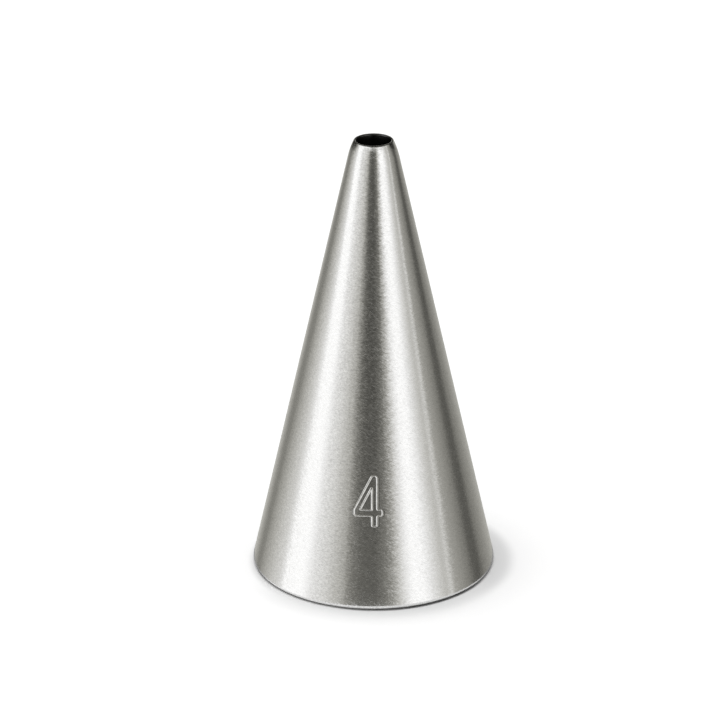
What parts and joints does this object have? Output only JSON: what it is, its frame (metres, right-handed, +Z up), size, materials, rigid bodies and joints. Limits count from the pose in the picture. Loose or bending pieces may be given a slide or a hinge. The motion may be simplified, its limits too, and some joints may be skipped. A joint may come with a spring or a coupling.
{
  "type": "piping nozzle",
  "caption": "Slender tapered sheet-steel piping nozzle with a small round outlet, a rounded lip and a plain engraved size numeral.",
  "frame": {"origin": "centre of the base's resting plane", "axes": "+Z up the nozzle's axis to the outlet, -Y through the numeral, +Y through the weld"},
  "size_m": [0.018, 0.018, 0.033],
  "materials": {
    "brushed_steel": "fine hoop-wise brushing over a bright polish",
    "ground_weld": "ground flush and brushed"
  },
  "bodies": {
    "root": {"cone_shell": "brushed_steel", "seam_weld": "ground_weld"}
  },
  "joints": []
}
